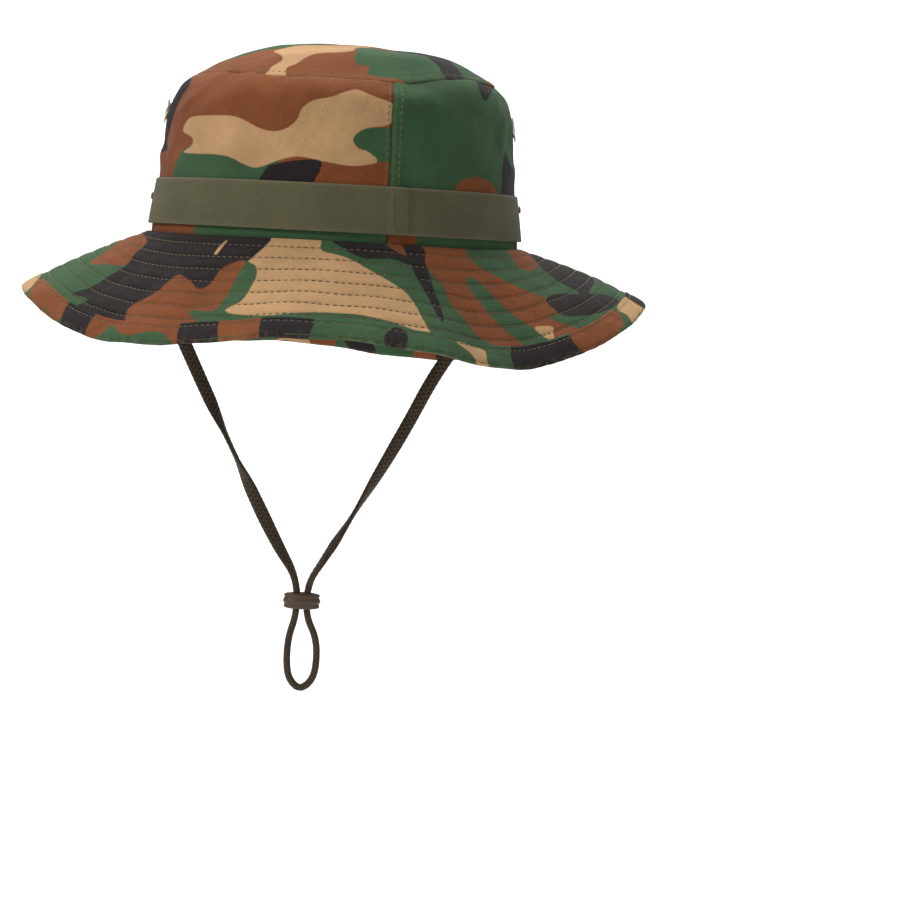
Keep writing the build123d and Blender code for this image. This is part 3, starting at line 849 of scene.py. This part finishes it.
def make_band(material, thread):
    """Webbing round the crown, lapped beside the front seam."""
    edge = np.array([0.0, 0.1, 0.5])
    z = np.concatenate([BAND[0] + edge, np.linspace(BAND[0] + 1.3, BAND[1] - 1.3, 20), BAND[1] - edge[::-1]])
    round_off = np.array([0.55, 0.2, 0.0] + [0.0] * 20 + [0.0, 0.2, 0.55])
    angle = around(BAND_STATIONS)
    height = np.broadcast_to(z, (BAND_STATIONS, len(z)))
    flat = on_wall(angle, height)
    x, front = flat[..., 0], flat[..., 1] < 0
    lap = smooth_step(x, BAND_LAP[0] - 0.6, BAND_LAP[0] + 0.4)
    lap *= 1 - smooth_step(x, BAND_LAP[1] - 0.4, BAND_LAP[1] + 0.6)
    wave = 0.22 * grain(flat, (28, 28, 60), 15.0) + 0.12 * grain(flat, (9, 9, 40), 17.0)
    out = band_gap(height) + 1.0 + lap * front * 0.9 + wave - round_off
    outer = on_wall(angle, height, out)
    inner = on_wall(angle, height, band_gap(height) + wave * 0.5)
    arc = round_length(flat)
    rubbed = np.exp(-np.minimum(height - BAND[0], BAND[1] - height) / 0.6)
    band = shell("hat_band_webbing", outer, inner, material, {"wear": rubbed * 0.8},
                 np.stack([arc, height], axis=-1), wrap=True)
    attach(band, "root")
    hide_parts("hat_band")
    column = int(np.argmin(np.abs(x[:, 10] - BAND_LAP[0] - 1.2) + 1e3 * ~front[:, 10]))
    normals = ribbon_normals(outer)
    seam = stitch_object("band_stitching", [(outer[column, 2:-2], normals[column, 2:-2])], thread)
    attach(seam, "root")


def make_sweatband(material):
    z = np.linspace(-1.5, 29.0, 24)
    angle = around(SWEATBAND_STATIONS)
    height = np.broadcast_to(z, (SWEATBAND_STATIONS, len(z)))
    flat = on_wall(angle, height)
    wave = 0.3 * grain(flat, (16, 16, 30), 33.0) * smooth_step(height, -1.5, 20)
    roll = 0.35 * (np.exp(-(height + 1.5) / 0.8) + np.exp(-(29 - height) / 0.8))
    outer = on_wall(angle, height, -CLOTH - 1.0 + np.minimum(wave, 0.15))
    inner = on_wall(angle, height, -CLOTH - 2.0 + wave + roll)
    arc = round_length(flat)
    band = shell("sweatband_cloth", outer, inner, material, {"wear": 0 * height},
                 np.stack([arc, height], axis=-1), wrap=True)
    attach(band, "root")
    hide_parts("sweatband")


# ---- brim ----

def quilting(along, points):
    """Relief of a quilted face: a groove at each row, puffed and puckered between them."""
    groove = sum(np.exp(-((along - row) / 0.75) ** 2) for row in ROWS)
    nearest = np.min([np.abs(along - row) for row in ROWS], axis=0)
    puff = 0.14 * smooth_step(nearest, 0.6, 3.0)
    pucker = 0.16 * grain(points, (3.4, 3.4, 3.4), 2.0) * np.exp(-nearest / 1.8)
    slack = 0.2 * grain(points, (11, 11, 11), 12.0) * smooth_step(along, 2, 8)
    return np.clip(-0.42 * groove + puff + pucker + slack, -0.5, 0.5)


def brim_columns():
    """Places across the brim: close together at each row of stitches."""
    places = [1.2, 2.4, 3.6]
    for row in ROWS:
        places += [row - 1.6, row - 0.9, row - 0.4, row, row + 0.4, row + 0.9, row + 1.6, row + 3.7]
    places += [BINDING_ROW, 57.6, 59.4, 61.2, 62.8, 63.9]
    return np.array(sorted(set(round(p, 2) for p in places)))


def snap_holes():
    """Centre and axis of each snap's hole, from its ring below to its socket above."""
    for side in ("left", "right"):
        centre = middle(f"brim_snap_ring_{side}")
        yield centre, middle(f"brim_snap_socket_{side}") - centre


FLAPS = {"left": (1, "left_brim_flap"), "right": (-1, "right_brim_flap")}


def half_rows(side):
    """Stations of the left or right half of a ring, both ends included."""
    quarter = STATIONS // 4
    start = -quarter if side > 0 else quarter
    return np.arange(start, start + 2 * quarter + 1) % STATIONS


def blend_half(piece):
    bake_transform(piece)


def keep_normals(piece, normals):
    """Shades a half with the whole ring's normals, so that no line shows where the halves meet."""
    piece.data.normals_split_custom_set_from_vertices(normals.tolist())


def ring_halves(name, outer, inner, material, fields, cloth, nodes, holes=()):
    """A ring of cloth as two halves, left and right, each with its own share of the holes."""
    outward = np.roll(outer, -1, axis=0) - np.roll(outer, 1, axis=0)
    normals = np.cross(outward, np.gradient(outer, axis=1))
    normals /= np.maximum(np.linalg.norm(normals, axis=-1, keepdims=True), 1e-9)
    for half in ("left", "right"):
        rows = half_rows(FLAPS[half][0])
        own = [h for h in holes if h[0][0] * FLAPS[half][0] > 0]
        piece = shell(f"{name}_{half}", outer[rows], inner[rows], material,
                      {k: v[rows] for k, v in fields.items()}, cloth[rows], holes=own)
        both = np.concatenate([normals[rows].reshape(-1, 3), -normals[rows].reshape(-1, 3)])
        keep_normals(piece, both)
        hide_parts(*[n.format(half=half) for n in nodes])
        blend_half(piece)


def brim_arc(angle):
    """Length round the middle of the brim."""
    return round_length(on_brim(angle, 30.0, 0.0))


def stitch_run(angle, row, sign, above):
    """A row of stitches on the brim's upper or lower side: its line, and the way it faces."""
    line = on_brim(angle, row + 0 * angle, sign * above)[:, 0]
    return line, on_brim(angle, row + 0 * angle, sign * (above + 1.0))[:, 0] - line


def make_brim(cloth, core, edge_cloth, thread):
    angle, along = around(STATIONS), brim_columns()[None, :]
    along = np.broadcast_to(along, (STATIONS, along.shape[1]))
    arc = np.broadcast_to(brim_arc(angle), along.shape)
    place = np.stack([arc, along], axis=-1)
    holes = [(c, a, SNAP_HOLE) for c, a in snap_holes()]
    runs = {"left": [], "right": []}
    for face, ply, sign, seed in (("top", "upper", 1, 120.0), ("under", "lower", -1, 150.0)):
        flat = on_brim(angle, along, sign * 1.0)
        lift = sign * (1.0 + quilting(along, flat))
        outer, inner = on_brim(angle, along, lift), on_brim(angle, along, sign * 0.44)
        if sign > 0:
            fields = front_print(outer, "green", BRIM_SHAPES, (30, 62, 40), seed, round_side(outer, 84, 100))
        else:
            blots = wild(outer, (62, 26, 40), seed)
            fields = {"print_" + c: blots[c] for c in ORDER}
        nearest = np.min([np.abs(along - row) for row in ROWS], axis=0)
        fields["wear"] = 0.25 * smooth_step(nearest, 1.0, 3.0)
        nodes = [f"{part}_{ply}_{end}" for part in ("{half}_flap", "brim") for end in ("front", "back")]
        ring_halves(f"brim_{face}", outer, inner, cloth, fields, place,
                    nodes, holes)
        for half in ("left", "right"):
            for row in ROWS:
                runs[half].append(stitch_run(angle[half_rows(FLAPS[half][0])], row, sign, 0.72))
    stiff = np.linspace(2.0, 63.0, 10)[None, :] + 0 * angle
    weave = np.stack([np.broadcast_to(brim_arc(angle), stiff.shape), stiff], axis=-1)
    ring_halves("brim_core", on_brim(angle, stiff, 0.36), on_brim(angle, stiff, -0.36), core,
                {"wear": 0 * stiff}, weave,
                ["brim_interlining", "{half}_flap_interlining"], holes)
    make_binding(angle, edge_cloth, runs)
    for half in ("left", "right"):
        seams = stitch_object(f"brim_stitching_{half}", runs[half], thread)
        blend_half(seams)


def make_binding(angle, material, runs):
    """Bias strip folded over the edge, its stitches through both legs."""
    leg = BRIM_WIDTH - BINDING_LEG
    outside = [(leg, 1.1), (leg + 0.1, 1.45), (leg + 0.7, 1.68), (leg + 1.5, 1.62), (leg + 2.3, 1.28),
               (leg + 3.1, 1.6), (leg + 4.4, 1.72), (leg + 6.2, 1.72), (leg + 8.0, 1.66), (leg + 9.4, 1.5),
               (leg + 10.3, 1.15), (leg + 10.8, 0.6), (leg + 11.0, 0.0)]
    section = outside + [(a, -b) for a, b in outside[-2::-1]]
    across = np.array([a for a, _ in section])[None, :] + 0 * angle
    above = np.array([b for _, b in section])[None, :] + 0 * angle
    points = on_brim(angle, across, above)
    crease = 0.22 * grain(points, (5.0, 5.0, 5.0), 44.0) + 0.12 * grain(points, (2.6, 2.6, 2.6), 47.0)
    crease *= smooth_step(across, leg + 0.3, leg + 1.5)
    fall = np.sign(above) * np.minimum(np.abs(above), 1.0)
    outer = on_brim(angle, across + crease * smooth_step(across, leg + 9, leg + 11), above + crease * fall)
    thin_across = np.minimum(across, BRIM_WIDTH + 0.1)
    inner = on_brim(angle, thin_across, np.clip(above, -1.07, 1.07))
    fields = front_print(outer, "green", EDGE_SHAPES, (26, 26, 26), 200.0, round_side(outer, 92, 104))
    fields["wear"] = smooth_step(across, leg + 8.0, leg + 10.6)
    arc = np.broadcast_to(brim_arc(angle), across.shape)
    length = np.cumsum(np.concatenate([np.zeros((STATIONS, 1)),
                                       np.linalg.norm(np.diff(points, axis=1), axis=-1)], axis=1), axis=1)
    ring_halves("brim_binding", outer, inner, material, fields, np.stack([arc, length], axis=-1),
                ["brim_binding_front", "brim_binding_back", "{half}_flap_binding"])
    for half in ("left", "right"):
        for sign in (1, -1):
            runs[half].append(stitch_run(angle[half_rows(FLAPS[half][0])], BINDING_ROW, sign, 1.34))


# ---- chin cord ----

def route_line(name, points):
    """Points along the smooth line through a route, read from its NURBS spline."""
    data = bpy.data.curves.new(name, "CURVE")
    data.dimensions = "3D"
    data.resolution_u = 16
    spline = data.splines.new("NURBS")
    spline.points.add(len(points) - 1)
    for target, p in zip(spline.points, points):
        target.co = (*(c * MM for c in p), 1.0)
    spline.order_u = 3
    spline.use_endpoint_u = True
    holder = bpy.data.objects.new(name, data)
    bpy.context.scene.collection.objects.link(holder)
    bpy.context.view_layer.update()
    mesh = bpy.data.meshes.new_from_object(holder)
    line = np.array([v.co for v in mesh.vertices]) / MM
    bpy.data.objects.remove(holder)
    bpy.data.meshes.remove(mesh)
    return line


def braided_cord(name, points, material, widths, turns):
    """A flat braid along a route. widths is its width and thickness along it, turns how it twists."""
    line = route_line(name + "_route", points)
    gaps = np.linalg.norm(np.diff(line, axis=0), axis=1)
    total = gaps.sum()
    rings = int(total / 0.55)
    path = evenly(line, rings)
    s = np.linspace(0, total, rings)
    ahead = np.gradient(path, axis=0)
    ahead /= np.linalg.norm(ahead, axis=1, keepdims=True)
    across = np.cross(ahead, (0.0, 1.0, 0.0))
    across /= np.linalg.norm(across, axis=1, keepdims=True)
    up = np.cross(across, ahead)
    share = s / total
    wide = np.interp(share, *zip(*[(t, w) for t, w, _ in widths]))
    thin = np.interp(share, *zip(*[(t, h) for t, _, h in widths]))
    twist = np.radians(np.interp(share, *zip(*turns)))
    sides = 20
    turn = around(sides).T
    c, d = np.cos(turn), np.sin(turn)
    plait = 0.5 * (np.cos(3 * turn + s[:, None] * 2.4) + np.cos(3 * turn - s[:, None] * 2.4))
    a = np.sign(c) * np.abs(c) ** 0.85 * (wide[:, None] / 2 + 0.07 * plait)
    b = np.sign(d) * np.abs(d) ** 0.85 * (thin[:, None] / 2 + 0.09 * plait)
    turn_c, turn_s = np.cos(twist)[:, None], np.sin(twist)[:, None]
    x, y = a * turn_c - b * turn_s, a * turn_s + b * turn_c
    verts = path[:, None, :] + x[..., None] * across[:, None, :] + y[..., None] * up[:, None, :]
    count = rings * sides
    faces = []
    for i in range(rings - 1):
        for k in range(sides):
            n = (k + 1) % sides
            faces.append((i * sides + k, i * sides + n, (i + 1) * sides + n, (i + 1) * sides + k))
    faces.append(tuple(reversed(range(sides))))
    faces.append(tuple(range(count - sides, count)))
    girth = np.linspace(0, 12, sides)[None, :] + 0 * s[:, None]
    cloth = np.stack([girth, s[:, None] + 0 * girth], axis=-1).reshape(-1, 2)
    cord = add_object(name, verts.reshape(-1, 3), faces, material, {}, cloth)
    return cord, path * MM


def make_cords(material):
    wide, narrow = (6.2, 2.3), (4.0, 3.2)
    run = [(0, *wide), (0.9, *wide), (0.96, *narrow), (1, *narrow)]
    left, left_path = braided_cord(
        "cord_left", CORD_LEFT, material, run,
        [(0, 20), (0.35, 5), (0.55, 15), (0.66, 45), (0.75, 85), (0.84, 122), (0.93, 105), (1, 90)])
    right, right_path = braided_cord(
        "cord_right", CORD_RIGHT, material, run,
        [(0, -15), (0.3, 5), (0.44, 22), (0.53, 80), (0.61, 100), (0.69, 158), (0.78, 190), (0.9, 235),
         (1, 270)])
    loop, loop_path = braided_cord(
        "cord_loop", CORD_LOOP, material, [(0, *narrow), (0.5, 4.4, 3.4), (1, *narrow)],
        [(0, 90), (1, 90)])
    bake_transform(left)
    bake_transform(right)
    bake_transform(loop)
    for piece, node, path, length, width in ((left, "chin_cord_left", left_path, 0.190, 0.006),
                                             (right, "chin_cord_right", right_path, 0.183, 0.006),
                                             (loop, "chin_cord_loop", loop_path, 0.088, 0.0045)):
        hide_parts(node)


def make_slider(material):
    """Oval slider with softened rims and one slot for both strands."""
    low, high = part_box("cord_slider")
    centre = middle("cord_slider")
    half = np.array((high - low) / 2) / MM
    angle = around(72)
    steps = np.linspace(-1, 1, 19)[None, :]
    barrel = 1 - 0.10 * steps ** 2 - 0.16 * np.abs(steps) ** 9
    collar = 0.035 * np.cos(steps * math.pi * 3)
    height = half[2] * np.sign(steps) * (1 - (1 - np.abs(steps)) ** 1.3)
    outer = np.stack([centre[0] + half[0] * (barrel + collar) * np.cos(angle),
                      centre[1] + half[1] * (barrel + collar) * np.sin(angle),
                      centre[2] + height + 0 * angle], axis=-1)
    flare = 1 + 0.12 * np.abs(steps) ** 6
    inner = np.stack([centre[0] + 4.9 * flare * np.sign(np.cos(angle)) * np.abs(np.cos(angle)) ** 0.7,
                      centre[1] + 2.3 * flare * np.sign(np.sin(angle)) * np.abs(np.sin(angle)) ** 0.7,
                      centre[2] + height * 0.97 + 0 * angle], axis=-1)
    slider = shell("cord_slider_bead", outer, inner, material,
                   {"wear": np.abs(steps) ** 4 + 0 * angle}, wrap=True)
    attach(slider, "cord_bead")
    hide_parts("cord_slider")


# ---- metal pieces, kept from the CAD ----

def paint_hardware():
    brass = plated_metal("antique_brass", linear(128, 104, 78), linear(92, 74, 56), linear(46, 38, 32),
                         0.3, 0.5, 3.0)
    nickel = plated_metal("nickel_plate", linear(214, 208, 196), linear(184, 177, 164), linear(120, 108, 92),
                          0.22, 0.4, 4.0)
    gauze = woven_gauze()
    for name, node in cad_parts.items():
        if "snap" in name:
            metal = brass
        elif "screen" in name:
            metal = gauze
        elif name.startswith("vent"):
            metal = nickel
        else:
            continue
        node.data.materials.clear()
        node.data.materials.append(metal)


make_camera()
make_studio()
make_cords(braid())
make_slider(slider_plastic())
print_cloth = camouflage("camouflage")
thread = sewing_thread()
make_crown(print_cloth, thread)
make_band(ribbed_webbing(), thread)
make_sweatband(plain_cotton("sweatband_cotton", linear(112, 106, 80), linear(80, 76, 56), 0.9))
make_brim(print_cloth, plain_cotton("interlining", linear(222, 218, 205), linear(190, 186, 172), 1.2),
          camouflage("binding_cloth"), thread)
paint_hardware()
